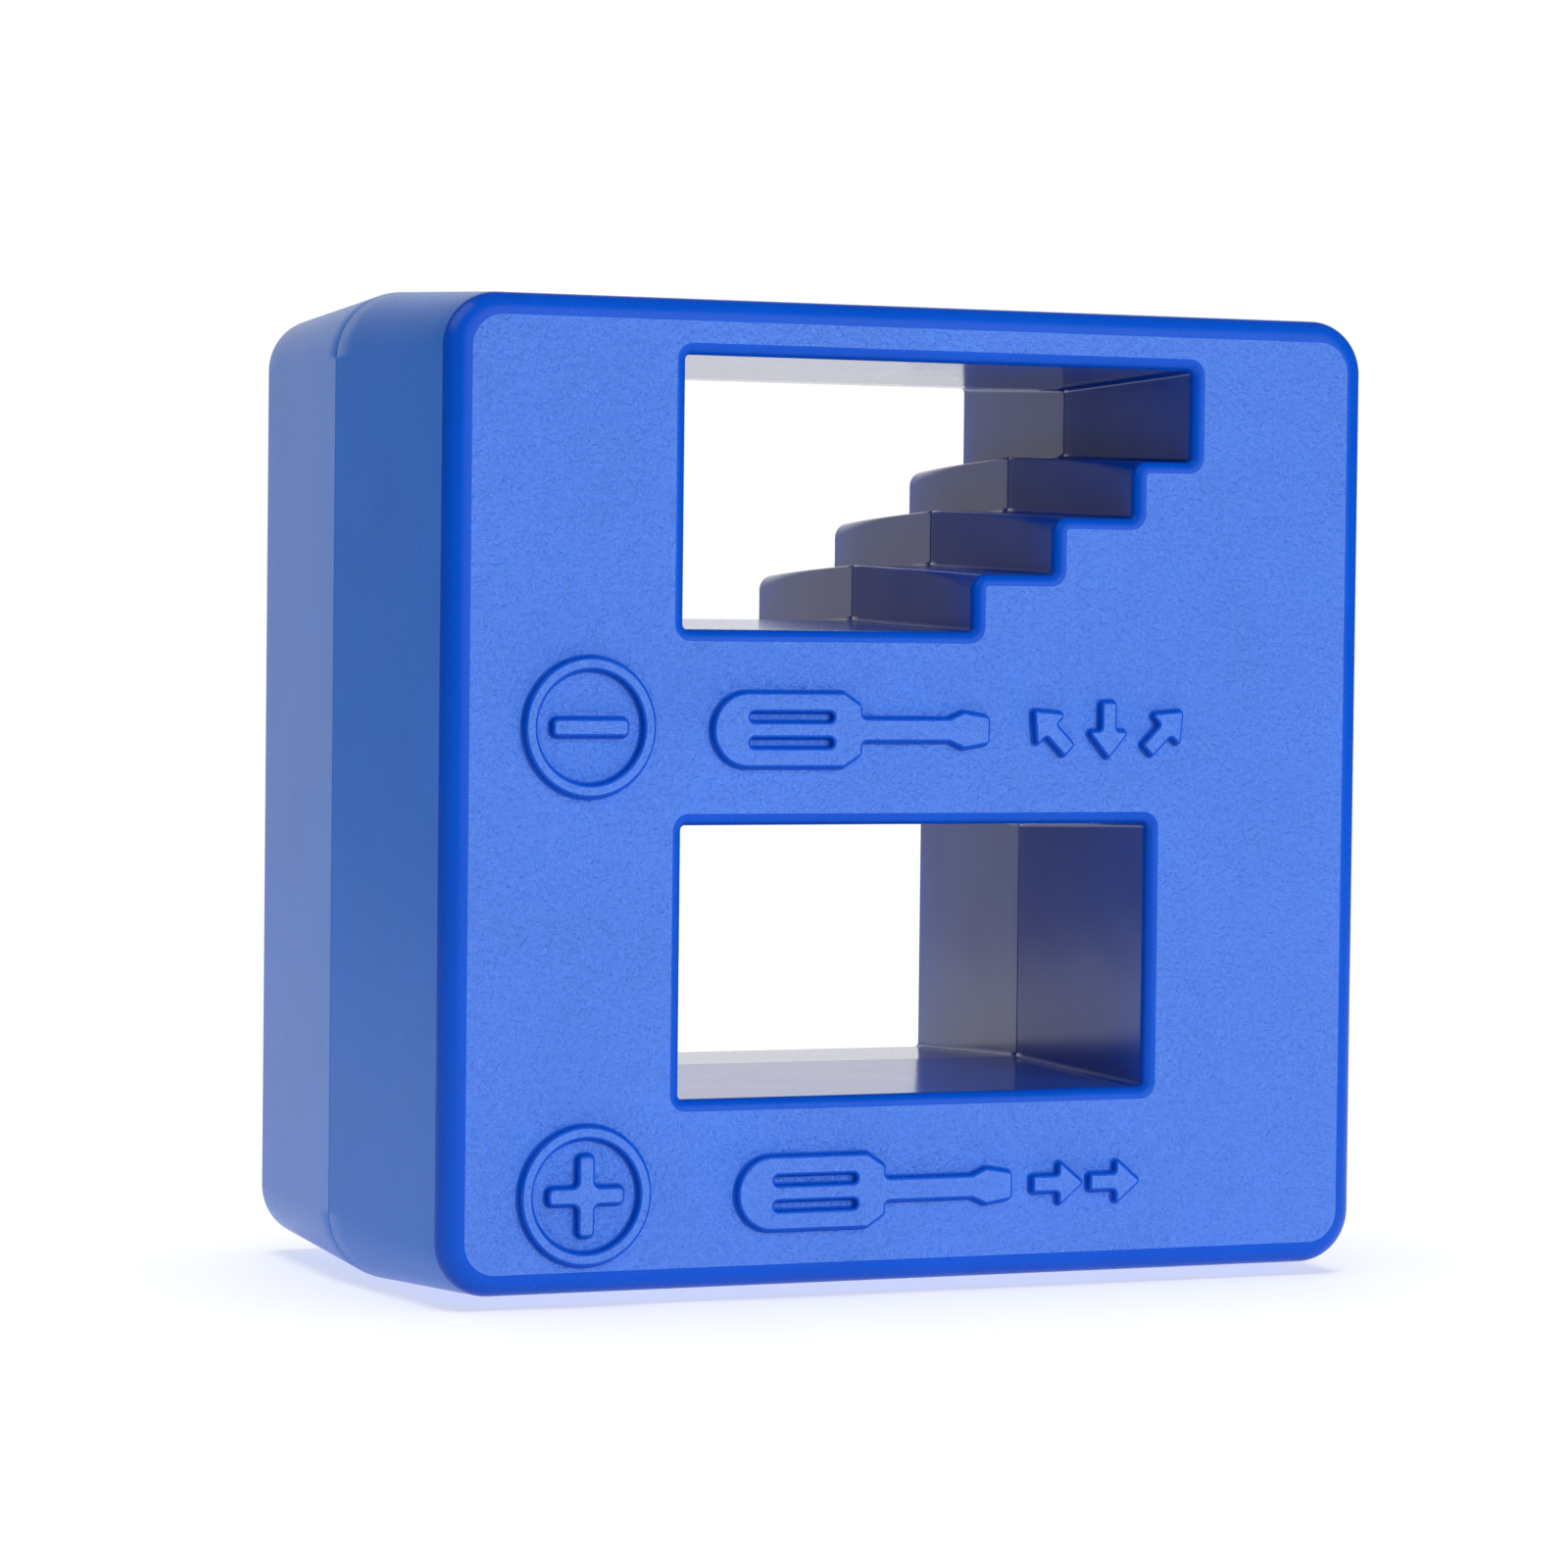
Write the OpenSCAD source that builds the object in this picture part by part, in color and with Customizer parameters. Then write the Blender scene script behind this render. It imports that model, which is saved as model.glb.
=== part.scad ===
// Passive magnetizer and demagnetizer block for small hand tools.
//
// Two drafted half casings meet at a seam half way through the depth. Each is moulded in one piece with
// its halves of the two window tunnels. A ferrite magnet stands on each side of the lower tunnel.
//
// +X is right, +Y is towards the back and +Z is up. The origin is below the middle of the block, on
// the ridge that the casing stands on. Pieces are drawn in a working frame and then turned upright:
// there X is right, Y is up from the block's centre, and Z runs from the seam to the piece's own face.

/* [Casing] */
// Width across the seam
casing_w = 53.6; // [53.2:0.2:58]
// Height across the seam
casing_h = 50.95; // [50.8:0.05:56]
// Depth from the front face to the back face
casing_d = 28; // [26:0.5:32]
// Draft of the front half's left and right sides: how far the face's edge sits inside the seam's edge
front_side_taper = 1.1; // [0.4:0.05:1.2]
// Draft of the front half's top and bottom
front_top_taper = 0.65; // [0.4:0.05:0.9]
// Draft of the back half's left and right sides
rear_side_taper = 0.8; // [0.4:0.05:1.2]
// Draft of the back half's top and bottom
rear_top_taper = 0.9; // [0.4:0.05:1.0]
// Corner radius at the seam
corner_r = 3.6; // [3.2:0.1:5]
// Rounding between the faces and the sides
edge_r = 1.1; // [0.6:0.1:1.2]
// Thickness of the casing's walls
casing_wall = 1.5; // [1.2:0.1:1.8]

/* [Windows] */
// Width of the lower window, which is centred across the block
window_w = 26.2; // [24:0.2:26.4]
// Height of the lower window
window_h = 13.75; // [11:0.25:14]
// Height of the lower window's sill above the seam's lowest edge
window_sill = 10.2; // [10:0.1:12]
// Height of the stepped window's floor above the seam's lowest edge
stair_floor = 33.8; // [33.4:0.1:34]
// Height of the stepped window's ceiling above its floor
stair_h = 13.7; // [13.4:0.1:13.8]
// Width of the stepped window's floor, from its left wall to the first riser
stair_floor_w = 16.05; // [14:0.05:16.2]
// Width of each full step
step_run = 4.6; // [4:0.1:4.7]
// Width of the last step
last_run = 3.35; // [2.4:0.05:3.5]
// Height of each step
step_rise = 2.98; // [2.6:0.02:3.0]
// Rounding of the windows' rims
rim_r = 0.6; // [0.3:0.05:0.7]
// Draft: how far each tunnel wall closes in between the face and the middle of the block
tunnel_taper = 0.5; // [0.2:0.05:0.6]
// Thickness of the tunnels' walls at their mouths
tunnel_wall = 1.0; // [0.8:0.05:1.2]

/* [Magnets] */
// Thickness of each magnet, across the block
magnet_t = 8; // [6:0.5:8]
// Height of each magnet
magnet_h = 20; // [14:1:20]

/* [Raised marks] */
// Height of the marks above the front face
mark_h = 0.45; // [0.2:0.05:0.6]
// Outer diameter of the rings round the plus and the minus
ring_d = 7.0; // [5:0.1:7.2]
// Width of the rings' line
ring_line = 0.65; // [0.4:0.05:0.8]
// Length of the minus and of the plus's arms
sign_len = 4.1; // [3:0.1:4.4]
// Width of the minus and of the plus's arms
sign_line = 0.9; // [0.6:0.1:1.1]

/* [Hidden] */

CASING_BLUE = [0.10, 0.30, 0.80];
FERRITE_GREY = [0.18, 0.18, 0.19];
FOAM_BLACK = [0.05, 0.05, 0.05];

half_d = casing_d / 2;
corner_steps = 12;
round_steps = 6;
cut = 1;                       // how far a cutting shape runs past what it cuts
fit_gap = 0.05;                // gap round pieces that slide together

// The seam lies half a mark's height behind the origin, so that the origin is at mid-depth overall.
seam_y = mark_h / 2;
centre_z = casing_h / 2;

// Drafts of each half: across, then up and down
front_taper = [front_side_taper, front_top_taper];
rear_taper = [rear_side_taper, rear_top_taper];

// Lower window, from the block's centre
window_left = -window_w / 2;
window_bottom = window_sill - casing_h / 2;
window_top = window_bottom + window_h;
window_mid = (window_bottom + window_top) / 2;

// Stepped window, from the block's centre
step_count = 3;
stair_bottom = stair_floor - casing_h / 2;
stair_top = stair_bottom + stair_h;
riser_x = [for (i = [0:step_count]) window_left + stair_floor_w
           + (i < step_count ? i * step_run : (i - 1) * step_run + last_run)];
tread_y = [for (i = [0:step_count]) stair_bottom + i * step_rise];

// Inside of the casing
inner_half_w = casing_w / 2 - casing_wall;
inner_depth = half_d - casing_wall;
mouth_depth = half_d - rim_r;

// Magnets and the foam pads between them and the casing's sides
magnet_x = window_w / 2 + tunnel_wall;
magnet_chamfer = 0.4;
side_taper = max(front_side_taper, rear_side_taper);
pad_half_d = 9;
pad_h = magnet_h - 4;
pad_t = inner_half_w - side_taper * pad_half_d / half_d - magnet_x - magnet_t - fit_gap;

// Ribs, from the inside of the face almost to the seam
rib_t = 1.2;
rib_depth = inner_depth - 1;
tie_rib_x = 6;

// Pins and sockets that line up the half casings
post_r = 2.4;
post_x = inner_half_w - post_r - 1.1;
post_y = casing_h / 2 - casing_wall - post_r - 0.4;
pin_r = 1.0;
pin_len = 3.6;
socket_depth = 4;

// Tongue round the seam
tongue_t = 0.7;
tongue_h = 1.2;

// Places of the raised marks, from the block's centre
minus_pos = [-18.3, 3.4];
plus_pos = [-18.3, -19.9];
demagnetize_mark_pos = [-11.7, 3.3];
magnetize_mark_pos = [-10.1, -20.1];
arrow_pitch = 3.3;

// Screwdriver mark: its handle, rounded at the end and tapered to the neck, the handle's two grooves, and
// half the outline of its blade, from the neck
grip_r = 1.9;
grip_len = 7.2;
neck_x = 8.2;
neck_r = 1.25;
groove_x = 2;
groove_len = 4.6;
groove_w = 0.5;
groove_pitch = 1.3;
blade = [[-0.3, 0.6], [4.9, 0.6], [5.7, 0.95], [7.2, 0.7]];

// Arrow mark of unit length along +X, centred
arrow_len = 3;
arrow = [[-0.5, -0.15], [0, -0.15], [0, -0.42], [0.5, 0], [0, 0.42], [0, 0.15], [-0.5, 0.15]];
mixed_angles = [135, -90, 45];
lined_up_angles = [0, 0];

// Outline of the casing at height z in the working frame. It is set in from the seam's outline by
// inset.x on the left and right, and by inset.y at the top and bottom.
function casing_ring(inset, z) = [
    for (corner = [0:3], i = [0:corner_steps])
        let (
            angle = 90 * corner + 90 * i / corner_steps,
            right = corner == 0 || corner == 3 ? 1 : -1,
            up = corner < 2 ? 1 : -1,
            r = corner_r - (inset.x + inset.y) / 2
        )
        [right * (casing_w / 2 - inset.x - r) + r * cos(angle),
         up * (casing_h / 2 - inset.y - r) + r * sin(angle),
         z]
];

// Outline of the lower window, grown by g on every side
function window_outline(g) = [
    [window_left - g, window_bottom - g],
    [-window_left + g, window_bottom - g],
    [-window_left + g, window_top + g],
    [window_left - g, window_top + g]
];

// Outline of the stepped window, grown by g on every side
function stair_outline(g) = [
    [window_left - g, stair_bottom - g],
    for (i = [0:step_count]) each [
        [riser_x[i] + g, tread_y[i] - g],
        [riser_x[i] + g, (i < step_count ? tread_y[i + 1] - g : stair_top + g)]
    ],
    [window_left - g, stair_top + g]
];

function all_round(g) = [g, g];

function lift(outline, z) = [for (p = outline) [p.x, p.y, z]];

// Outline of either window: 0 is the lower one and 1 is the stepped one
function opening(which, g) = which == 0 ? window_outline(g) : stair_outline(g);

// Solid through a list of rings of equal length, each higher than the last
module loft(rings) {
    n = len(rings[0]);
    last = len(rings) - 1;
    sides = [for (j = [0:last - 1], i = [0:n - 1])
             [j * n + i, (j + 1) * n + i, (j + 1) * n + (i + 1) % n, j * n + (i + 1) % n]];
    bottom = [for (i = [0:n - 1]) i];
    top = [for (i = [n - 1:-1:0]) last * n + i];
    polyhedron([for (ring = rings) each ring], concat([bottom, top], sides));
}

// Turns a piece drawn in the working frame upright, facing the front
module facing_front() {
    translate([0, seam_y, centre_z]) rotate([90, 0, 0]) children();
}

// The same for a piece that faces the back, which is drawn as its mirror image
module facing_back() {
    facing_front() mirror([0, 0, 1]) children();
}

// ---- Half casings ----

module half_outside(taper) {
    straight = half_d - edge_r;
    loft([
        casing_ring([0, 0], 0),
        for (i = [0:round_steps])
            let (a = 90 * i / round_steps, z = straight + edge_r * sin(a))
            casing_ring(taper * z / half_d + all_round(edge_r * (1 - cos(a))), z)
    ]);
}

module half_inside(taper) {
    loft([
        casing_ring(all_round(casing_wall), -cut),
        casing_ring(all_round(casing_wall), 0),
        casing_ring(all_round(casing_wall) + taper * inner_depth / half_d, inner_depth)
    ]);
}

// One tunnel's walls, from the seam into the face
module tunnel_walls(which) {
    linear_extrude(inner_depth + casing_wall / 2) polygon(opening(which, tunnel_wall));
}

// One tunnel's opening: it widens from the seam to its mouth, and then over the rounded rim
module tunnel_opening(which) {
    loft([
        lift(opening(which, -tunnel_taper), -cut),
        lift(opening(which, -tunnel_taper), 0),
        for (i = [0:round_steps])
            let (a = 90 * i / round_steps)
            lift(opening(which, rim_r * (1 - cos(a))), mouth_depth + rim_r * sin(a)),
        lift(opening(which, rim_r), half_d + cut)
    ]);
}

// A rib's block in the working frame, from the inside of the face almost to the seam
module rib(x, y, w, h) {
    translate([x, y, inner_depth - rib_depth]) cube([w, h, rib_depth + casing_wall / 2]);
}

// Ribs that hold the magnets from above and below
module magnet_ribs() {
    rib_x = magnet_x + fit_gap;
    reach = magnet_h / 2 + fit_gap;
    for (side = [0, 1], y = [window_mid + reach, window_mid - reach - rib_t])
        mirror([side, 0, 0]) rib(rib_x, y, inner_half_w - rib_x, rib_t);
}

// Ribs that tie the two tunnels together
module tie_ribs() {
    bottom = window_top + tunnel_wall / 2;
    for (side = [-1, 1])
        rib(side * tie_rib_x - rib_t / 2, bottom, rib_t, stair_bottom - tunnel_wall / 2 - bottom);
}

module at_posts() {
    for (side = [-1, 1], up = [-1, 1]) translate([side * post_x, up * post_y, 0]) children();
}

module posts() {
    at_posts() cylinder(r = post_r, h = inner_depth + casing_wall / 2, $fn = 48);
}

module half_casing(taper) {
    difference() {
        union() {
            difference() {
                half_outside(taper);
                half_inside(taper);
            }
            intersection() {
                union() {
                    magnet_ribs();
                    tie_ribs();
                    posts();
                    tunnel_walls(0);
                    tunnel_walls(1);
                }
                half_outside(taper);
            }
        }
        tunnel_opening(0);
        tunnel_opening(1);
    }
}

// Band inside the casing's wall at the seam, t thick and h high
module seam_band(t, h) {
    linear_extrude(h)
        difference() {
            polygon([for (p = casing_ring(all_round(casing_wall - t), 0)) [p.x, p.y]]);
            polygon([for (p = casing_ring(all_round(casing_wall), 0)) [p.x, p.y]]);
        }
}

// ---- Raised marks ----

module ring_mark(pos) {
    translate(pos)
        difference() {
            circle(d = ring_d, $fn = 72);
            circle(d = ring_d - 2 * ring_line, $fn = 72);
        }
}

module bar_mark(pos, angle) {
    translate(pos) rotate(angle) square([sign_len, sign_line], center = true);
}

// Row of arrows, each turned by its angle
module arrow_row(pos, angles) {
    for (i = [0:len(angles) - 1])
        translate([pos.x + arrow_pitch * (i + 0.5), pos.y]) rotate(angles[i]) scale(arrow_len) polygon(arrow);
}

// Screwdriver seen from the side, with its handle's end at pos
module screwdriver_mark(pos) {
    translate(pos) {
        difference() {
            hull() {
                translate([grip_r, 0]) circle(r = grip_r, $fn = 64);
                polygon([[grip_len, -grip_r], [neck_x, -neck_r], [neck_x, neck_r], [grip_len, grip_r]]);
            }
            for (i = [-0.5, 0.5])
                translate([groove_x, i * groove_pitch - groove_w / 2]) square([groove_len, groove_w]);
        }
        translate([neck_x, 0])
            polygon([for (side = [-1, 1], p = side < 0 ? blade : [for (i = [len(blade) - 1:-1:0]) blade[i]])
                     [p.x, side * p.y]]);
    }
}

module raised_marks() {
    translate([0, 0, half_d - mark_h])
        linear_extrude(2 * mark_h) {
            ring_mark(minus_pos);
            bar_mark(minus_pos, 0);
            ring_mark(plus_pos);
            bar_mark(plus_pos, 0);
            bar_mark(plus_pos, 90);
            screwdriver_mark(demagnetize_mark_pos);
            arrow_row(demagnetize_mark_pos + [17.3, 0], mixed_angles);
            screwdriver_mark(magnetize_mark_pos);
            arrow_row(magnetize_mark_pos + [16.4, 0], lined_up_angles);
        }
}

// ---- Sub-parts ----

module front_shell() {
    color(CASING_BLUE)
        facing_front()
            difference() {
                union() {
                    half_casing(front_taper);
                    translate([0, 0, -tongue_h]) seam_band(tongue_t, tongue_h + cut);
                    raised_marks();
                }
                translate([0, 0, -cut]) at_posts() cylinder(r = pin_r + fit_gap, h = socket_depth + cut, $fn = 32);
            }
}

module rear_shell() {
    color(CASING_BLUE)
        facing_back() {
            difference() {
                half_casing(rear_taper);
                translate([0, 0, -cut]) seam_band(tongue_t + fit_gap, tongue_h + fit_gap + cut);
            }
            translate([0, 0, -pin_len]) at_posts() cylinder(r = pin_r, h = pin_len + cut, $fn = 32);
        }
}

// Ferrite block with chamfered long edges, magnetized across its thickness
module magnet() {
    c = magnet_chamfer;
    translate([magnet_x, window_mid - magnet_h / 2, -inner_depth])
        linear_extrude(2 * inner_depth)
            polygon([[c, 0], [magnet_t - c, 0], [magnet_t, c], [magnet_t, magnet_h - c],
                     [magnet_t - c, magnet_h], [c, magnet_h], [0, magnet_h - c], [0, c]]);
}

module right_magnet() {
    color(FERRITE_GREY) facing_front() magnet();
}

module left_magnet() {
    color(FERRITE_GREY) facing_front() mirror([1, 0, 0]) magnet();
}

// Foam strip that takes up the slack between a magnet and the casing's side
module magnet_pad() {
    translate([magnet_x + magnet_t, window_mid - pad_h / 2, -pad_half_d]) cube([pad_t, pad_h, 2 * pad_half_d]);
}

module right_magnet_pad() {
    color(FOAM_BLACK) facing_front() magnet_pad();
}

module left_magnet_pad() {
    color(FOAM_BLACK) facing_front() mirror([1, 0, 0]) magnet_pad();
}

front_shell();
rear_shell();
left_magnet();
right_magnet();
left_magnet_pad();
right_magnet_pad();
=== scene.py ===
"""Looks of the magnetizer and demagnetizer block: fine meshes, moulded-plastic materials and a studio.

Every piece is drawn in a flat working frame: u is right, v is up from the block's centre, and depth runs
from the seam to the piece's own face. Part turns that into the frame of the CAD model, in metres.
"""
import math

import bmesh
import bpy
import numpy as np
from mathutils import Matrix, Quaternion, Vector
from mathutils.geometry import delaunay_2d_cdt


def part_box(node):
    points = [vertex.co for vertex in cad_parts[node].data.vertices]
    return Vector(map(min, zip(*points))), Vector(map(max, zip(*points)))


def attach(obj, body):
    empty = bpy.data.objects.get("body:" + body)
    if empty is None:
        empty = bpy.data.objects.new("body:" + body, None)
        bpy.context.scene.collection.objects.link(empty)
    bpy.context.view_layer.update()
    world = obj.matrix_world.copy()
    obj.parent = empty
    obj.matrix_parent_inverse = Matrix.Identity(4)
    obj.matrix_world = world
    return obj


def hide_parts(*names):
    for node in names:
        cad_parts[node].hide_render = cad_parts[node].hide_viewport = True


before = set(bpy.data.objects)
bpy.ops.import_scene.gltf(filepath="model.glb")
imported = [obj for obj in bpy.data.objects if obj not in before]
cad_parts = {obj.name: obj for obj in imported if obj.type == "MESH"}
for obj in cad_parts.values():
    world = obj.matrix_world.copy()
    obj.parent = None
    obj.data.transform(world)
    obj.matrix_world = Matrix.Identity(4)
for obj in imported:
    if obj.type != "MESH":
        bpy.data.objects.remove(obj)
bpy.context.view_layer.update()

MM = 0.001

# ---- Places and sizes read from the CAD model ----

front_lo, front_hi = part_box("front_shell")
_, rear_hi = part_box("rear_shell")
magnet_lo, magnet_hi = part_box("right_magnet")

SEAM_Y = (magnet_lo.y + magnet_hi.y) / 2
MID_Z = (front_lo.z + front_hi.z) / 2
HALF_W = front_hi.x
HALF_H = front_hi.z - MID_Z
HALF_D = rear_hi.y - SEAM_Y
MARK_H = SEAM_Y - HALF_D - front_lo.y
INNER_DEPTH = magnet_hi.y - SEAM_Y

# ---- Sizes that repeat the CAD model's own dimensions ----

FRONT_TAPER = Vector((1.1, 0.65)) * MM
REAR_TAPER = Vector((0.8, 0.9)) * MM
CORNER_R = 3.6 * MM
EDGE_R = 1.1 * MM
CASING_WALL = HALF_D - INNER_DEPTH
RIM_R = 0.6 * MM
TUNNEL_TAPER = 0.5 * MM
TUNNEL_WALL = 1.0 * MM
FIT_GAP = 0.05 * MM
TONGUE_T = 0.7 * MM
TONGUE_H = 1.2 * MM

WINDOW_LEFT = TUNNEL_WALL - magnet_lo.x
WINDOW_H = 13.75 * MM
WINDOW_BOTTOM = (magnet_lo.z + magnet_hi.z - WINDOW_H) / 2 - MID_Z
WINDOW_TOP = WINDOW_BOTTOM + WINDOW_H
STAIR_BOTTOM = 33.8 * MM - MID_Z
STAIR_TOP = STAIR_BOTTOM + 13.7 * MM
STAIR_FLOOR_W = 16.05 * MM
STEP_RUN = 4.6 * MM
LAST_RUN = 3.35 * MM
STEP_RISE = 2.98 * MM
STEPS = 3
MOUTH_DEPTH = HALF_D - RIM_R

# ---- Fineness of the meshes, and the small roundings that the CAD model leaves out ----

CORNER_STEPS = 24
ROUND_STEPS = 12
TURN_STEPS = 6
SIDE_STEPS = 8
SEAM_ROUND = 0.07 * MM
INSIDE_CORNER_R = 0.25 * MM
NOSE_R = 0.12 * MM
NOSE_FLARE = 0.7 * MM
FLARE_START = 5.0 * MM


# ---- Outlines ----

def arc(centre, radius, start, stop, steps):
    """Points along an arc, with its angles in degrees."""
    angles = [math.radians(start + (stop - start) * i / steps) for i in range(steps + 1)]
    return [Vector((centre[0] + radius * math.cos(a), centre[1] + radius * math.sin(a))) for a in angles]


def circle(centre, radius, steps):
    return arc(centre, radius, 0, 360, steps)[:-1]


def casing_outline(inset):
    """Outline of the casing, set in from the seam's outline by inset.x across and inset.y up and down."""
    r = CORNER_R - (inset.x + inset.y) / 2
    cu, cv = HALF_W - inset.x - r, HALF_H - inset.y - r
    points = []
    for i, (su, sv) in enumerate(((1, 1), (-1, 1), (-1, -1), (1, -1))):
        points += arc((su * cu, sv * cv), r, 90 * i, 90 * (i + 1), CORNER_STEPS)
    return points


def turn(corner, back, ahead, radius, steps):
    """Points that round one corner, which lies between the directions back and ahead."""
    half = back.angle(ahead) / 2
    reach = min(radius / math.tan(half), 0.49 * back.length, 0.49 * ahead.length)
    first, last = back.normalized() * reach, ahead.normalized() * reach
    centre = (first + last) / (2 * math.cos(half) ** 2)
    start, stop = first - centre, last - centre
    angle = math.atan2(start.x * stop.y - start.y * stop.x, start.dot(stop))
    points = []
    for k in range(steps + 1):
        c, s = math.cos(angle * k / steps), math.sin(angle * k / steps)
        points.append(corner + centre + Vector((start.x * c - start.y * s, start.x * s + start.y * c)))
    return points


def rounded(corners, radius, nose_radius=None, steps=TURN_STEPS):
    """An anticlockwise polygon with rounded corners. The corners that point inwards take nose_radius."""
    points = []
    for i, corner in enumerate(corners):
        back, ahead = corners[i - 1] - corner, corners[(i + 1) % len(corners)] - corner
        points_in = back.x * ahead.y - back.y * ahead.x > 0
        use = nose_radius if points_in and nose_radius else radius
        points += turn(corner, back, ahead, use, steps)
    return points


def nose_radius_at(depth):
    """Rounding of the steps' edges, which grows towards the tunnel's mouth."""
    past = max(0, depth - FLARE_START) / (MOUTH_DEPTH - FLARE_START)
    return NOSE_R + NOSE_FLARE * min(past, 1) ** 2


def window_outline(grow, depth=0):
    """Lower window, grown on every side."""
    left, right = WINDOW_LEFT - grow, -WINDOW_LEFT + grow
    bottom, top = WINDOW_BOTTOM - grow, WINDOW_TOP + grow
    corners = [Vector(p) for p in ((left, bottom), (right, bottom), (right, top), (left, top))]
    return rounded(corners, INSIDE_CORNER_R + max(grow, 0))


def stair_outline(grow, depth=0):
    """Stepped window, grown on every side, with its steps' edges rounded as they are at this depth."""
    left, top = WINDOW_LEFT - grow, STAIR_TOP + grow
    corners = [Vector((left, STAIR_BOTTOM - grow))]
    for i in range(STEPS + 1):
        run = i * STEP_RUN if i < STEPS else (i - 1) * STEP_RUN + LAST_RUN
        riser = WINDOW_LEFT + STAIR_FLOOR_W + run + grow
        tread = STAIR_BOTTOM + i * STEP_RISE - grow
        above = tread + STEP_RISE if i < STEPS else top
        corners += [Vector((riser, tread)), Vector((riser, above))]
    corners.append(Vector((left, top)))
    nose = max(nose_radius_at(depth) - max(grow, 0), NOSE_R)
    return rounded(corners, INSIDE_CORNER_R + max(grow, 0), nose)


def offset(points, distance):
    """The closed outline moved to its right-hand side, which is outwards when it runs anticlockwise."""
    result = []
    for i, p in enumerate(points):
        before = (p - points[i - 1]).normalized()
        after = (points[(i + 1) % len(points)] - p).normalized()
        n1, n2 = Vector((before.y, -before.x)), Vector((after.y, -after.x))
        result.append(p + (n1 + n2) * (distance / (1 + n1.dot(n2))))
    return result


def quarter(steps):
    """Angles from 0 to 90 degrees, in radians."""
    return [math.pi / 2 * i / steps for i in range(steps + 1)]


def all_round(inset):
    return Vector((inset, inset))


# ---- Mesh building ----

def edges_of(loops):
    """The loops' edges, as arrays of their first and last points."""
    start = np.concatenate([np.array(loop) for loop in loops])
    stop = np.concatenate([np.roll(np.array(loop), -1, axis=0) for loop in loops])
    return start, stop


def inside(points, loops):
    """Which of the points lie inside an odd number of the loops."""
    start, stop = edges_of(loops)
    u, v = points[:, 0:1], points[:, 1:2]
    spans = (start[:, 1] > v) != (stop[:, 1] > v)
    rise = stop[:, 1] - start[:, 1]
    rise[rise == 0] = 1
    cross = start[:, 0] + (v - start[:, 1]) * (stop[:, 0] - start[:, 0]) / rise
    return (spans & (u < cross)).sum(axis=1) % 2 == 1


def clearances(points, loops):
    """Each point's distance to the nearest edge of the loops."""
    start, stop = edges_of(loops)
    along = stop - start
    along_squared = np.maximum((along ** 2).sum(axis=1), 1e-18)
    result = []
    for point in points:
        t = np.clip(((point - start) * along).sum(axis=1) / along_squared, 0, 1)
        result.append(np.hypot(*(start + along * t[:, None] - point).T).min())
    return np.array(result)


def even_points(loops, spacing):
    """Evenly spaced points inside the region that the loops bound, clear of its edges."""
    outline, _ = edges_of(loops)
    lo, hi = outline.min(axis=0), outline.max(axis=0)
    rows = np.arange(lo[1], hi[1], spacing * math.sqrt(3) / 2)
    columns = np.arange(lo[0], hi[0], spacing)
    grid = np.array([(u + spacing / 2 * (i % 2), v) for i, v in enumerate(rows) for u in columns])
    grid = grid[inside(grid, loops)]
    return grid[clearances(grid, loops) > spacing * 0.4]


class Part:
    """A mesh drawn in the working frame. facing is -1 for a piece that faces the front and 1 for the back."""

    def __init__(self, facing):
        self.bm = bmesh.new()
        self.facing = facing

    def point(self, u, v, depth):
        return self.bm.verts.new((u, SEAM_Y + self.facing * depth, v + MID_Z))

    def ring(self, outline, depth):
        return [self.point(p.x, p.y, depth) for p in outline]

    def band(self, a, b, material=0):
        for i in range(len(a)):
            j = (i + 1) % len(a)
            self.bm.faces.new((a[i], a[j], b[j], b[i])).material_index = material

    def skin(self, rings, material=0):
        for a, b in zip(rings, rings[1:]):
            self.band(a, b, material)

    def cap(self, *rings, depth, spacing=None, material=0):
        """Fills the flat region between the first ring and the rings inside it."""
        vertices = [v for ring in rings for v in ring]
        loops = [[(v.co.x, v.co.z - MID_Z) for v in ring] for ring in rings]
        if spacing:
            vertices += [self.point(u, v, depth) for u, v in even_points(loops, spacing)]
        edges, first = [], 0
        for ring in rings:
            edges += [(first + i, first + (i + 1) % len(ring)) for i in range(len(ring))]
            first += len(ring)
        flat = [Vector((v.co.x, v.co.z - MID_Z)) for v in vertices]
        points, _, faces, sources, _, _ = delaunay_2d_cdt(flat, edges, [], 0, 1e-9)
        middles = np.array([sum((points[i] for i in face), Vector((0, 0))) / len(face) for face in faces])
        for face, keep in zip(faces, inside(middles, loops)):
            if keep:
                corners = [vertices[sources[i][0]] for i in face]
                self.bm.faces.new(corners).material_index = material

    def solid(self, outline, depths):
        """A closed prism, for a part that is joined to another or cut out of it."""
        near, far = (self.ring(outline, d) for d in depths)
        self.band(near, far)
        self.bm.faces.new(near)
        self.bm.faces.new(far)

    def block(self, lo, hi, depths):
        self.solid([Vector(lo), Vector((hi[0], lo[1])), Vector(hi), Vector((lo[0], hi[1]))], depths)

    def make(self, name, materials=()):
        bmesh.ops.recalc_face_normals(self.bm, faces=self.bm.faces)
        return new_piece(name, self.bm, materials)


def new_piece(name, bm, materials=()):
    """Turns the finished bmesh into an object."""
    mesh = bpy.data.meshes.new(name)
    bm.to_mesh(mesh)
    bm.free()
    for material in materials:
        mesh.materials.append(material)
    piece = bpy.data.objects.new(name, mesh)
    bpy.context.scene.collection.objects.link(piece)
    return piece


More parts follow.
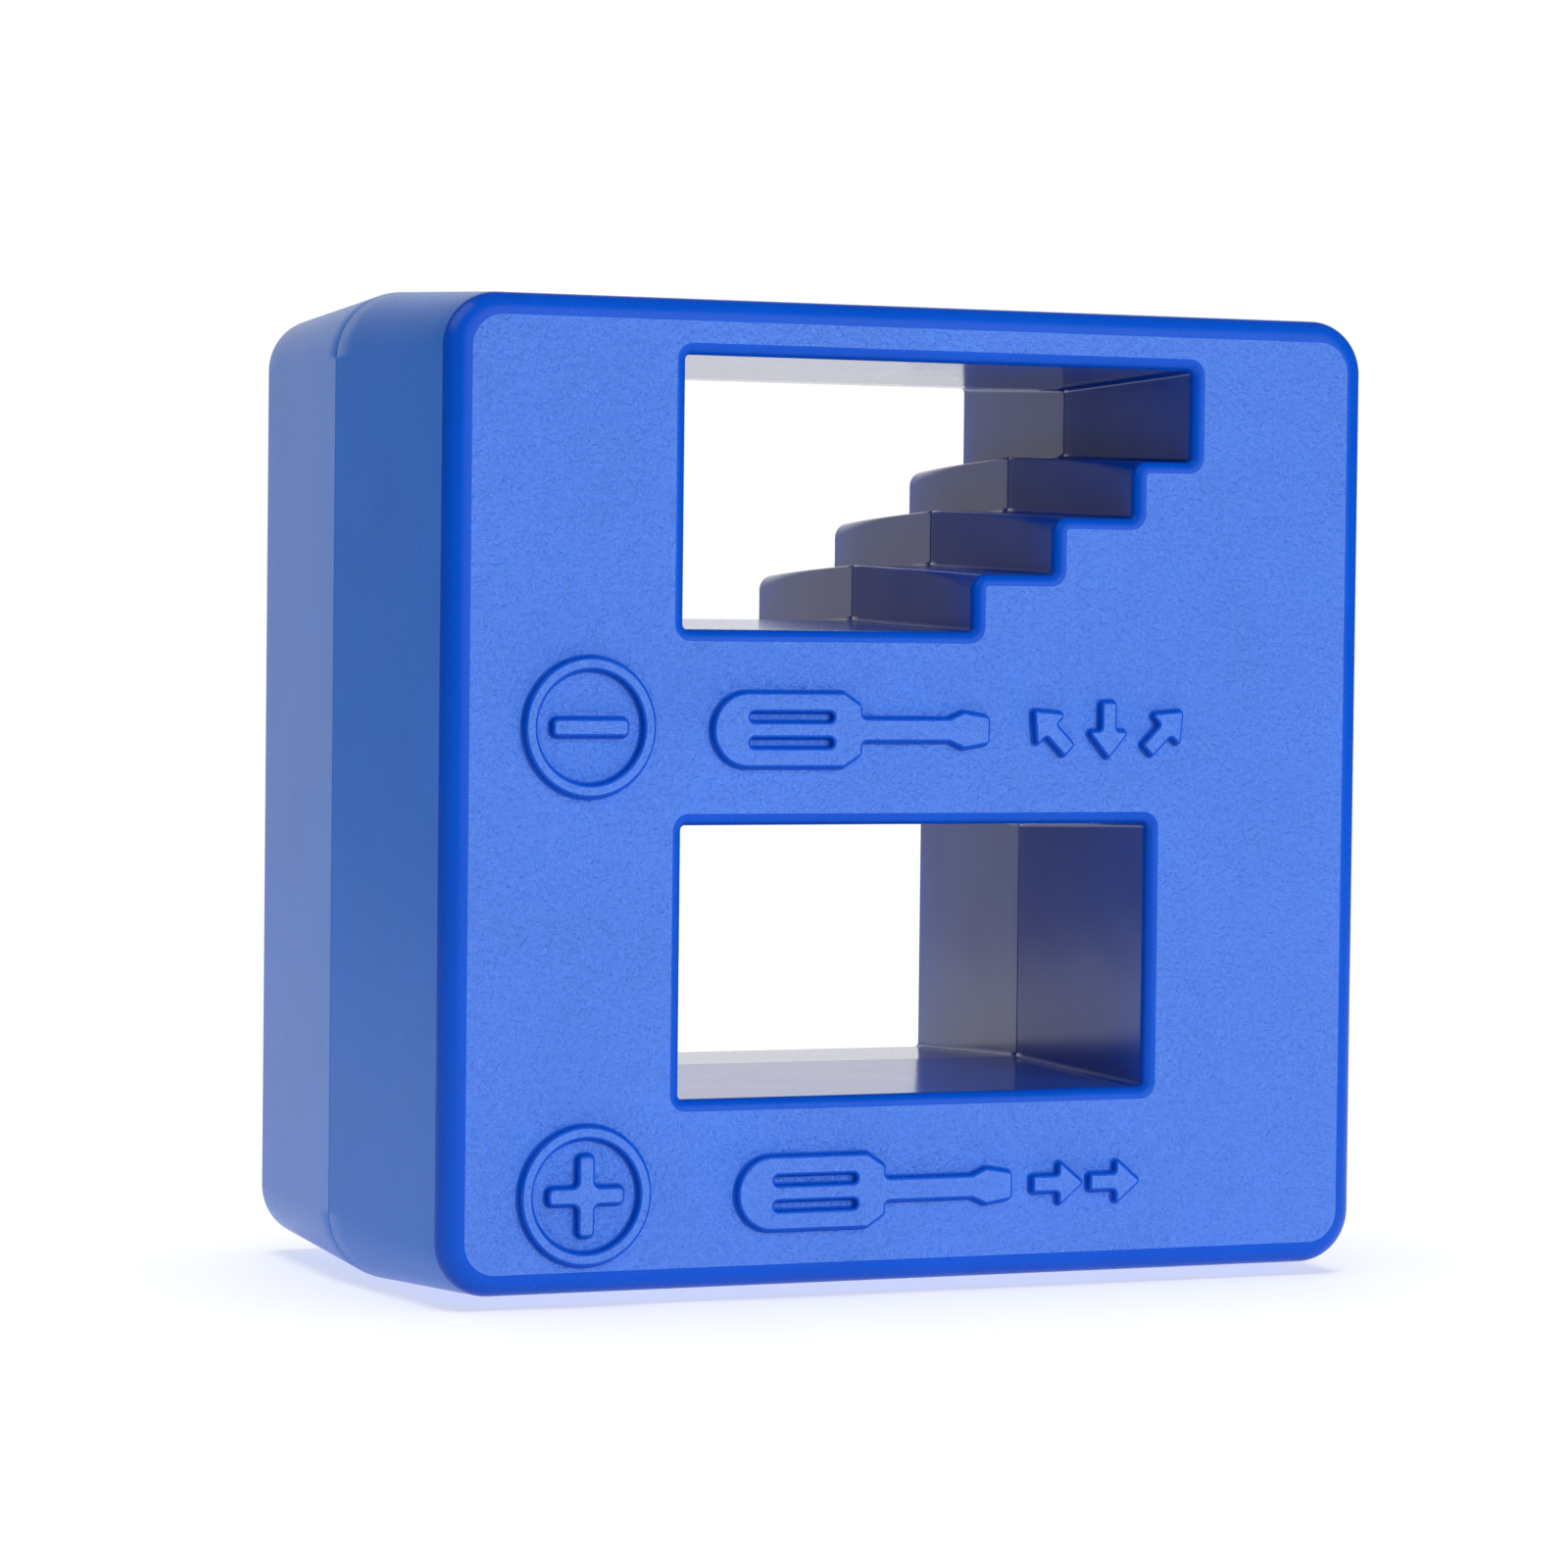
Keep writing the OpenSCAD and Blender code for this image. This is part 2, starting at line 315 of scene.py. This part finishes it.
def apply_modifiers(piece):
    """Leaves the piece with its evaluated mesh and no modifiers."""
    graph = bpy.context.evaluated_depsgraph_get()
    mesh = bpy.data.meshes.new_from_object(piece.evaluated_get(graph), depsgraph=graph)
    old = piece.data
    piece.modifiers.clear()
    piece.data = mesh
    bpy.data.meshes.remove(old)
    mesh.name = piece.name


def combine(piece, other, operation):
    """Joins the other piece to this one, or cuts it out, and removes it."""
    modifier = piece.modifiers.new("combine", "BOOLEAN")
    modifier.operation = operation
    modifier.solver = "EXACT"
    modifier.object = other
    apply_modifiers(piece)
    bpy.data.objects.remove(other)


def shade(piece, sharp=35, blend=50):
    """Smooth shading, with the flat faces along Y kept perfectly flat up to their rounded edges."""
    mesh = piece.data
    mesh.shade_smooth()
    mesh.set_sharp_from_angle(angle=math.radians(sharp))
    modifier = piece.modifiers.new("even", "WEIGHTED_NORMAL")
    modifier.keep_sharp = True
    apply_modifiers(piece)
    mesh = piece.data
    flat = {}
    for polygon in mesh.polygons:
        if abs(polygon.normal.y) > 0.99999:
            for vertex in polygon.vertices:
                flat[vertex] = polygon.normal.copy()
    limit = math.cos(math.radians(blend))
    normals = [corner.vector.copy() for corner in mesh.corner_normals]
    for i, loop in enumerate(mesh.loops):
        straight = flat.get(loop.vertex_index)
        if straight and normals[i].dot(straight) > limit:
            normals[i] = straight
    mesh.normals_split_custom_set(normals)


# ---- Raised marks ----

MINUS_AT = Vector((-18.3, 3.4)) * MM
PLUS_AT = Vector((-18.3, -19.9)) * MM
DEMAGNETIZE_AT = Vector((-11.7, 3.3)) * MM
MAGNETIZE_AT = Vector((-10.1, -20.1)) * MM
RING_R = 3.5 * MM
RING_LINE = 0.65 * MM
RING_STEPS = 96
SIGN_LEN = 4.1 * MM
SIGN_LINE = 0.9 * MM
SIGN_ROUND = 0.3 * MM
ARROW_PITCH = 3.3 * MM
ARROW_LEN = 3.0 * MM
ARROW = ((-0.5, -0.15), (0, -0.15), (0, -0.42), (0.5, 0), (0, 0.42), (0, 0.15), (-0.5, 0.15))
ARROW_ROUND = 0.16 * MM
MIXED_ARROWS_U = 17.3 * MM
MIXED_ARROWS = (135, -90, 45)
LINED_UP_ARROWS_U = 16.4 * MM
LINED_UP_ARROWS = (0, 0)

# Screwdriver mark: its handle, rounded at the end and tapered to the neck, the handle's grooves, and half
# the outline of its blade, from the neck
GRIP_R = 1.9 * MM
GRIP_LEN = 7.2 * MM
NECK_U = 8.2 * MM
NECK_R = 1.25 * MM
BLADE = ((0, 0.6), (4.9, 0.6), (5.7, 0.95), (7.2, 0.7))
BLADE_ROUND = 0.25 * MM
GROOVE_U = 2.0 * MM
GROOVE_LEN = 4.6 * MM
GROOVE_W = 0.5 * MM
GROOVE_PITCH = 1.3 * MM

MARK_FOOT = 0.14 * MM
MARK_ROUND = 0.14 * MM


def rectangle(centre, length, width):
    u, v = length / 2, width / 2
    return [centre + Vector(p) for p in ((-u, -v), (u, -v), (u, v), (-u, v))]


def bar_loop(at):
    return rounded(rectangle(at, SIGN_LEN, SIGN_LINE), SIGN_ROUND)


def cross_loop(at):
    a, b = SIGN_LEN / 2, SIGN_LINE / 2
    arm = [(a, -b), (a, b), (b, b)]
    turns = ((1, 0), (0, 1), (-1, 0), (0, -1))
    corners = [at + Vector((x * c - y * s, x * s + y * c)) for c, s in turns for x, y in arm]
    return rounded(corners, SIGN_ROUND)


def arrow_loop(at, angle):
    c, s = math.cos(math.radians(angle)), math.sin(math.radians(angle))
    corners = [at + Vector((x * c - y * s, x * s + y * c)) * ARROW_LEN for x, y in ARROW]
    return rounded(corners, ARROW_ROUND, steps=4)


def arrow_loops(at, angles):
    """A row of arrows, each turned by its angle."""
    return [arrow_loop(at + Vector(((i + 0.5) * ARROW_PITCH, 0)), angle) for i, angle in enumerate(angles)]


def screwdriver_loop(at):
    """A screwdriver's outline from the side, starting at its handle's end."""
    side = [(GRIP_LEN, GRIP_R), (NECK_U, NECK_R)] + [(NECK_U + u * MM, v * MM) for u, v in BLADE]
    corners = [Vector((u, -v)) for u, v in side] + [Vector((u, v)) for u, v in reversed(side)]
    points = arc((GRIP_R, 0), GRIP_R, 90, 270, 32)
    ends = [points[-1]] + corners + [points[0]]
    for back, corner, ahead in zip(ends, corners, ends[2:]):
        points += turn(corner, back - corner, ahead - corner, BLADE_ROUND, TURN_STEPS)
    return [at + p for p in points]


def groove_loops(at):
    """The two grooves along the screwdriver's handle."""
    middle = at + Vector((GROOVE_U + GROOVE_LEN / 2, 0))
    return [rounded(rectangle(middle + Vector((0, i * GROOVE_PITCH)), GROOVE_LEN, GROOVE_W), GROOVE_W * 0.45)
            for i in (-0.5, 0.5)]


def mark_profile():
    """(distance outwards, height) from the foot of a mark's wall to the edge of its top."""
    foot = [(MARK_FOOT * (1 - math.sin(a)), MARK_FOOT * (1 - math.cos(a))) for a in quarter(3)]
    top = [(-MARK_ROUND * (1 - math.cos(a)), MARK_H - MARK_ROUND * (1 - math.sin(a))) for a in quarter(4)]
    return foot + top


class Marks:
    """Raises marks on the face of a part and collects the rings that the face has to leave open."""

    def __init__(self, part, wall_material, flat_material):
        self.part = part
        self.wall_material = wall_material
        self.flat_material = flat_material
        self.feet = []

    def wall(self, loop):
        rings = [self.part.ring(offset(loop, out), HALF_D + up) for out, up in mark_profile()]
        self.part.skin(rings, self.wall_material)
        return rings[0], rings[-1]

    def top(self, *rings):
        self.part.cap(*rings, depth=HALF_D + MARK_H, material=self.flat_material)

    def floor(self, *rings):
        self.part.cap(*rings, depth=HALF_D, material=self.flat_material)

    def raise_plain(self, loop):
        foot, top = self.wall(loop)
        self.top(top)
        self.feet.append(foot)

    def raise_holed(self, loop, holes):
        """A mark with holes in it, whose floors are level with the face."""
        foot, top = self.wall(loop)
        walls = [self.wall(hole[::-1]) for hole in holes]
        self.top(top, *[hole_top for _, hole_top in walls])
        for hole_foot, _ in walls:
            self.floor(hole_foot)
        self.feet.append(foot)

    def raise_ringed(self, at, sign):
        """A ring with a sign in the middle."""
        foot, top = self.wall(circle(at, RING_R, RING_STEPS))
        inner_foot, inner_top = self.wall(circle(at, RING_R - RING_LINE, RING_STEPS)[::-1])
        sign_foot, sign_top = self.wall(sign)
        self.top(top, inner_top)
        self.top(sign_top)
        self.floor(inner_foot, sign_foot)
        self.feet.append(foot)


def raise_marks(part, wall_material, flat_material):
    """Raises all the marks and returns the rings of their feet."""
    marks = Marks(part, wall_material, flat_material)
    marks.raise_ringed(MINUS_AT, bar_loop(MINUS_AT))
    marks.raise_ringed(PLUS_AT, cross_loop(PLUS_AT))
    for at in (DEMAGNETIZE_AT, MAGNETIZE_AT):
        marks.raise_holed(screwdriver_loop(at), groove_loops(at))
    arrows = arrow_loops(DEMAGNETIZE_AT + Vector((MIXED_ARROWS_U, 0)), MIXED_ARROWS)
    arrows += arrow_loops(MAGNETIZE_AT + Vector((LINED_UP_ARROWS_U, 0)), LINED_UP_ARROWS)
    for loop in arrows:
        marks.raise_plain(loop)
    return marks.feet


# ---- Casing ----

RIB_T = 1.2 * MM
RIB_START = 1.0 * MM
TIE_RIB_U = 6.0 * MM
POST_R = 2.4 * MM
POST_U = HALF_W - CASING_WALL - POST_R - 1.1 * MM
POST_V = HALF_H - CASING_WALL - POST_R - 0.4 * MM
POSTS = [Vector((su * POST_U, sv * POST_V)) for su in (-1, 1) for sv in (-1, 1)]
PIN_R = 1.0 * MM
PIN_LEN = 3.6 * MM
SOCKET_DEPTH = 4.0 * MM
ROOT = 0.5 * MM
FACE_SPACING = 1.1 * MM
SIDE, FACE, TUNNEL, EDGE = range(4)


def outside_rings(part, taper):
    """From the flat face's edge, over the rounding, down the drafted side to the seam."""
    start = HALF_D - EDGE_R
    rings = []
    for a in reversed(quarter(ROUND_STEPS)):
        depth = start + EDGE_R * math.sin(a)
        inset = taper * (depth / HALF_D) + all_round(EDGE_R * (1 - math.cos(a)))
        rings.append(part.ring(casing_outline(inset), depth))
    for k in range(SIDE_STEPS - 1, 0, -1):
        depth = start * k / SIDE_STEPS
        rings.append(part.ring(casing_outline(taper * (depth / HALF_D)), depth))
    for a in quarter(3):
        inset = all_round(SEAM_ROUND * (1 - math.cos(a)))
        rings.append(part.ring(casing_outline(inset), SEAM_ROUND * (1 - math.sin(a))))
    return rings


def inside_rings(part, taper):
    """From the seam over the tongue or into its groove, and on to the inside of the face."""
    wall = all_round(CASING_WALL)
    if part.facing < 0:
        step = all_round(CASING_WALL - TONGUE_T)
        places = [(step, 0), (step, -TONGUE_H), (wall, -TONGUE_H), (wall, 0)]
    else:
        step, groove = all_round(CASING_WALL - TONGUE_T - FIT_GAP), TONGUE_H + FIT_GAP
        places = [(step, 0), (step, groove), (wall + taper * (groove / HALF_D), groove)]
    places.append((wall + taper * (INNER_DEPTH / HALF_D), INNER_DEPTH))
    return [part.ring(casing_outline(inset), depth) for inset, depth in places]


def tunnel_rings(part, outline):
    """From the inside of the face along the tunnel's wall to the seam, and back through it to the rim."""
    rings = [part.ring(outline(TUNNEL_WALL), depth) for depth in (INNER_DEPTH, 0)]
    for a in reversed(quarter(3)):
        grow = SEAM_ROUND * (1 - math.cos(a)) - TUNNEL_TAPER
        rings.append(part.ring(outline(grow), SEAM_ROUND * (1 - math.sin(a))))
    for k in range(1, 2 * SIDE_STEPS):
        depth = MOUTH_DEPTH * k / (2 * SIDE_STEPS)
        rings.append(part.ring(outline(TUNNEL_TAPER * (depth / MOUTH_DEPTH - 1), depth), depth))
    for a in quarter(ROUND_STEPS):
        grow, depth = RIM_R * (1 - math.cos(a)), MOUTH_DEPTH + RIM_R * math.sin(a)
        rings.append(part.ring(outline(grow, depth), depth))
    return rings


def ribs(facing):
    """The ribs that hold the magnets, and those that tie the two tunnels together."""
    part = Part(facing)
    depths = (RIB_START, INNER_DEPTH + ROOT)
    low, high = magnet_lo.z - MID_Z - FIT_GAP, magnet_hi.z - MID_Z + FIT_GAP
    near, far = magnet_lo.x + FIT_GAP, HALF_W - CASING_WALL + ROOT / 2
    for v in (low - RIB_T, high):
        part.block((near, v), (far, v + RIB_T), depths)
        part.block((-far, v), (-near, v + RIB_T), depths)
    for u in (-TIE_RIB_U, TIE_RIB_U):
        part.block((u - RIB_T / 2, WINDOW_TOP + TUNNEL_WALL / 2),
                   (u + RIB_T / 2, STAIR_BOTTOM - TUNNEL_WALL / 2), depths)
    return part.make("ribs")


def rods(facing, radius, depths):
    """A rod at each of the four posts."""
    part = Part(facing)
    for at in POSTS:
        part.solid(circle(at, radius, 32), depths)
    return part.make("rods")


def casing(name, facing, taper, materials):
    """Half the casing, with its halves of the tunnels. The marks are raised on the front half."""
    part = Part(facing)
    outer, inner = outside_rings(part, taper), inside_rings(part, taper)
    # The rounded edges take the darker edge tone: painted shade.
    part.skin(outer[:ROUND_STEPS + 1], EDGE)
    part.skin(outer[ROUND_STEPS:] + inner, SIDE)
    tunnels = [tunnel_rings(part, outline) for outline in (window_outline, stair_outline)]
    # The tunnels' walls take the darker tunnel tone, which is painted shade. Their rims take the darker edge
    # tone, which is also painted shade.
    for rings in tunnels:
        part.skin(rings[:-ROUND_STEPS], TUNNEL)
        part.skin(rings[-ROUND_STEPS - 1:], EDGE)
    part.cap(inner[-1], *[rings[0] for rings in tunnels], depth=INNER_DEPTH)
    # The marks' walls take the darker edge tone: painted shade that outlines the marks.
    feet = raise_marks(part, EDGE, FACE) if facing < 0 else []
    rims = [rings[-1] for rings in tunnels]
    part.cap(outer[0], *rims, *feet, depth=HALF_D, spacing=FACE_SPACING, material=FACE)
    piece = part.make(name, materials)
    combine(piece, ribs(facing), "UNION")
    combine(piece, rods(facing, POST_R, (0, INNER_DEPTH + ROOT)), "UNION")
    if facing < 0:
        combine(piece, rods(facing, PIN_R + FIT_GAP, (-ROOT, SOCKET_DEPTH)), "DIFFERENCE")
    else:
        combine(piece, rods(facing, PIN_R, (-PIN_LEN, ROOT)), "UNION")
    shade(piece)
    return piece


# ---- Magnets and pads ----

def soft_block(name, node, rounding, segments, material):
    """A block with rounded edges that fills its CAD node's box."""
    lo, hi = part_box(node)
    bm = bmesh.new()
    bmesh.ops.create_cube(bm, size=1)
    for v in bm.verts:
        v.co = [(lo[i] + hi[i]) / 2 + v.co[i] * (hi[i] - lo[i]) for i in range(3)]
    bmesh.ops.bevel(bm, geom=bm.edges[:], offset=rounding, segments=segments, profile=0.5, affect="EDGES")
    piece = new_piece(name, bm, [material])
    shade(piece)
    return piece


# ---- Materials ----

class Nodes:
    """Short names for building a material's node tree."""

    def __init__(self, name):
        self.material = bpy.data.materials.new(name)
        self.material.use_nodes = True
        self.tree = self.material.node_tree
        self.shader = self.tree.nodes["Principled BSDF"]
        self.coords = self.tree.nodes.new("ShaderNodeTexCoord").outputs["Object"]

    def add(self, kind, **inputs):
        node = self.tree.nodes.new(kind)
        for name, value in inputs.items():
            node.inputs[name].default_value = value
        return node

    def link(self, source, target):
        self.tree.links.new(source, target)

    def noise(self, size, detail=2.0, roughness=0.5):
        """Noise whose features are about size metres across."""
        node = self.add("ShaderNodeTexNoise", Scale=1 / size, Detail=detail, Roughness=roughness)
        self.link(self.coords, node.inputs["Vector"])
        return node.outputs["Fac"]

    def ramp(self, source, stops):
        node = self.add("ShaderNodeValToRGB")
        elements = node.color_ramp.elements
        for element, (position, colour) in zip(elements, stops):
            element.position = position
            element.color = (*colour, 1)
        self.link(source, node.inputs["Fac"])
        return node.outputs["Color"]

    def remap(self, source, low, high, to_low, to_high):
        node = self.add("ShaderNodeMapRange")
        for name, value in (("From Min", low), ("From Max", high), ("To Min", to_low), ("To Max", to_high)):
            node.inputs[name].default_value = value
        self.link(source, node.inputs["Value"])
        return node.outputs["Result"]

    def bump(self, height, distance, under=None):
        node = self.add("ShaderNodeBump", Distance=distance)
        self.link(height, node.inputs["Height"])
        if under:
            self.link(under, node.inputs["Normal"])
        return node.outputs["Normal"]


def scaled(colour, factor):
    return tuple(c * factor for c in colour)


def moulded_plastic(name, colour, roughness, grain_size, grain_depth, specular=0.5, variation=0.04):
    """Plastic with faint cloudy tone, uneven gloss, and the fine grain that the mould leaves."""
    n = Nodes(name)
    n.shader.inputs["Specular IOR Level"].default_value = specular
    cloud = n.noise(7 * MM, detail=3)
    stops = [(0.3, scaled(colour, 1 - variation)), (0.7, scaled(colour, 1 + variation))]
    n.link(n.ramp(cloud, stops), n.shader.inputs["Base Color"])
    fine = n.noise(grain_size, detail=3, roughness=0.6)
    n.link(n.remap(fine, 0.3, 0.7, roughness - 0.04, roughness + 0.04), n.shader.inputs["Roughness"])
    waves = n.bump(n.noise(6 * MM, detail=1), 0.03 * MM)
    n.link(n.bump(fine, grain_depth, under=waves), n.shader.inputs["Normal"])
    return n.material


def ferrite(name):
    """Ground sintered ferrite: dark grey, with speckles and fine grinding lines."""
    n = Nodes(name)
    speckle = n.noise(0.25 * MM, detail=4, roughness=0.7)
    stops = [(0.35, (0.035, 0.035, 0.038)), (0.65, (0.085, 0.085, 0.09))]
    n.link(n.ramp(speckle, stops), n.shader.inputs["Base Color"])
    stretch = n.add("ShaderNodeMapping", Scale=(1, 1, 30))
    n.link(n.coords, stretch.inputs["Vector"])
    lines = n.add("ShaderNodeTexNoise", Scale=400, Detail=3)
    n.link(stretch.outputs["Vector"], lines.inputs["Vector"])
    n.link(n.remap(lines.outputs["Fac"], 0.3, 0.7, 0.35, 0.6), n.shader.inputs["Roughness"])
    n.link(n.bump(lines.outputs["Fac"], 0.02 * MM), n.shader.inputs["Normal"])
    return n.material


def foam(name):
    """Black closed-cell foam."""
    n = Nodes(name)
    cells = n.add("ShaderNodeTexVoronoi", Scale=1 / (0.35 * MM))
    n.link(n.coords, cells.inputs["Vector"])
    stops = [(0.0, (0.03, 0.03, 0.032)), (0.8, (0.012, 0.012, 0.013))]
    n.link(n.ramp(cells.outputs["Distance"], stops), n.shader.inputs["Base Color"])
    n.shader.inputs["Roughness"].default_value = 0.9
    n.link(n.bump(cells.outputs["Distance"], 0.08 * MM), n.shader.inputs["Normal"])
    return n.material


SIDE_BLUE = (0.002, 0.130, 0.57)
# The face's tone is paler and redder than the sides': painted sheen, standing in for a reflection of the
# lights.
FACE_BLUE_PAINTED_SHEEN = (0.034, 0.155, 0.67)
# The rounded edges, tunnel rims and marks' walls have a darker, deeper tone: painted shade.
EDGE_BLUE_PAINTED_SHADE = (0.001, 0.064, 0.46)
# The tunnels' walls have a darker tone: painted shade, for the little light that reaches inside.
TUNNEL_BLUE_PAINTED_SHADE = (0.003, 0.060, 0.40)

# In the order of SIDE, FACE, TUNNEL and EDGE
plastics = [
    moulded_plastic("casing_side", SIDE_BLUE, 0.30, 0.12 * MM, 0.002 * MM, specular=0.25),
    moulded_plastic("casing_face_painted_sheen", FACE_BLUE_PAINTED_SHEEN, 0.38, 0.30 * MM, 0.36 * MM, specular=1.0),
    moulded_plastic("casing_tunnel_painted_shade", TUNNEL_BLUE_PAINTED_SHADE, 0.15, 0.15 * MM, 0.001 * MM),
    moulded_plastic("casing_edge_painted_shade", EDGE_BLUE_PAINTED_SHADE, 0.25, 0.15 * MM, 0.001 * MM, specular=0.15),
]

# ---- Pieces ----

pieces = [
    (casing("front_casing", -1, FRONT_TAPER, plastics), "front_shell", "casing"),
    (casing("rear_casing", 1, REAR_TAPER, plastics), "rear_shell", "casing"),
]
ferrite_grey, foam_black = ferrite("ferrite"), foam("foam")
for side in ("left", "right"):
    magnet = soft_block(f"{side}_ferrite", f"{side}_magnet", 0.4 * MM, 2, ferrite_grey)
    pad = soft_block(f"{side}_foam", f"{side}_magnet_pad", 0.3 * MM, 3, foam_black)
    pieces += [(magnet, f"{side}_magnet", "magnet"), (pad, f"{side}_magnet_pad", "pad")]
for piece, node, slot in pieces:
    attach(piece, "root")
    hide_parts(node)

# ---- Studio ----

CAMERA_AT = Vector((-118.4, -262.8, 34.5)) * MM
CAMERA_AIM = Vector((-7.65, -13.78, 26.04)) * MM
CAMERA_ROLL = 0.65
FIELD_OF_VIEW = 16.5
FLOOR_R = 0.25
SHADOWING_LIGHT = 1.4
EVEN_LIGHT = 2.4
OVERHEAD_SPREAD = 40
SOFTBOX_DISTANCE = 0.9
BACKDROP_AZIMUTH = 170
BACKDROP_EDGE = 0.65
BACKDROP_CORE = 0.97


def add_camera():
    camera = bpy.data.cameras.new("camera")
    camera.angle = math.radians(FIELD_OF_VIEW)
    camera.clip_start = 0.01
    holder = bpy.data.objects.new("camera", camera)
    holder.location = CAMERA_AT
    holder.rotation_mode = "QUATERNION"
    aim = (CAMERA_AIM - CAMERA_AT).to_track_quat("-Z", "Y")
    holder.rotation_quaternion = aim @ Quaternion((0, 0, 1), math.radians(CAMERA_ROLL))
    bpy.context.scene.collection.objects.link(holder)
    bpy.context.scene.camera = holder


def light_only(holder, objects):
    """Limits a light to the given objects."""
    lit = bpy.data.collections.new(f"lit_by_{holder.name}")
    for piece in objects:
        lit.objects.link(piece)
    holder.light_linking.receiver_collection = lit


def add_softbox(name, objects, azimuth, elevation, size, radiance, reflected=True):
    """A light aimed at the block, which may be kept out of its reflections so that it doesn't wash them out.

    Azimuth 0 is in front of the block and 90 is to its right, in degrees.
    """
    a, e = math.radians(azimuth), math.radians(elevation)
    middle = Vector((0, 0, MID_Z))
    outwards = Vector((math.sin(a) * math.cos(e), -math.cos(a) * math.cos(e), math.sin(e)))
    light = bpy.data.lights.new(name, "AREA")
    light.shape = "RECTANGLE"
    light.size, light.size_y = size
    light.energy = radiance * math.pi * size[0] * size[1]
    holder = bpy.data.objects.new(name, light)
    holder.location = middle + outwards * SOFTBOX_DISTANCE
    holder.rotation_euler = (-outwards).to_track_quat("-Z", "Y").to_euler()
    holder.visible_glossy = reflected
    bpy.context.scene.collection.objects.link(holder)
    light_only(holder, objects)


def add_floor():
    """A pale floor with its own light from straight above, as bright as the backdrop and softly shadowed."""
    bm = bmesh.new()
    bmesh.ops.create_circle(bm, cap_ends=True, segments=128, radius=FLOOR_R)
    n = Nodes("floor")
    stops = [(0.0, (0.80, 0.80, 0.80)), (1.0, (0.84, 0.84, 0.84))]
    n.link(n.ramp(n.noise(0.2), stops), n.shader.inputs["Base Color"])
    n.shader.inputs["Roughness"].default_value = 0.9
    floor = new_piece("floor", bm, [n.material])
    for casts_shadow, strength in ((True, SHADOWING_LIGHT), (False, EVEN_LIGHT)):
        light = bpy.data.lights.new("overhead", "SUN")
        light.energy = strength
        light.angle = math.radians(OVERHEAD_SPREAD)
        light.use_shadow = casts_shadow
        light.cycles.cast_shadow = casts_shadow
        holder = bpy.data.objects.new("overhead", light)
        bpy.context.scene.collection.objects.link(holder)
        light_only(holder, [floor])


def set_world(bright, dim):
    """A backdrop that the camera sees as white all round, but that lights the block mainly from behind."""
    world = bpy.data.worlds.new("studio")
    world.use_nodes = True
    bpy.context.scene.world = world
    tree = world.node_tree
    coords = tree.nodes.new("ShaderNodeTexCoord")
    towards = tree.nodes.new("ShaderNodeVectorMath")
    towards.operation = "DOT_PRODUCT"
    azimuth = math.radians(BACKDROP_AZIMUTH)
    towards.inputs[1].default_value = (math.sin(azimuth), -math.cos(azimuth), 0)
    blend = tree.nodes.new("ShaderNodeMapRange")
    blend.interpolation_type = "SMOOTHSTEP"
    limits = (("From Min", BACKDROP_EDGE), ("From Max", BACKDROP_CORE), ("To Min", dim), ("To Max", bright))
    for name, value in limits:
        blend.inputs[name].default_value = value
    path = tree.nodes.new("ShaderNodeLightPath")
    seen = tree.nodes.new("ShaderNodeMath")
    seen.operation = "MAXIMUM"
    tree.links.new(coords.outputs["Generated"], towards.inputs[0])
    tree.links.new(towards.outputs["Value"], blend.inputs["Value"])
    tree.links.new(blend.outputs["Result"], seen.inputs[0])
    tree.links.new(path.outputs["Is Camera Ray"], seen.inputs[1])
    tree.links.new(seen.outputs["Value"], tree.nodes["Background"].inputs["Strength"])
    tree.nodes["Background"].inputs["Color"].default_value = (1, 1, 1, 1)


block = [piece for piece, _, _ in pieces]
add_camera()
add_floor()
set_world(bright=1.02, dim=0.05)
add_softbox("key", block, azimuth=18, elevation=24, size=(0.6, 0.8), radiance=3.9, reflected=False)
add_softbox("sheen", block, azimuth=10, elevation=14, size=(1.2, 1.0), radiance=1.5)
add_softbox("fill", block, azimuth=-100, elevation=50, size=(0.7, 0.7), radiance=2.2)
bpy.context.scene.view_settings.view_transform = "Standard"
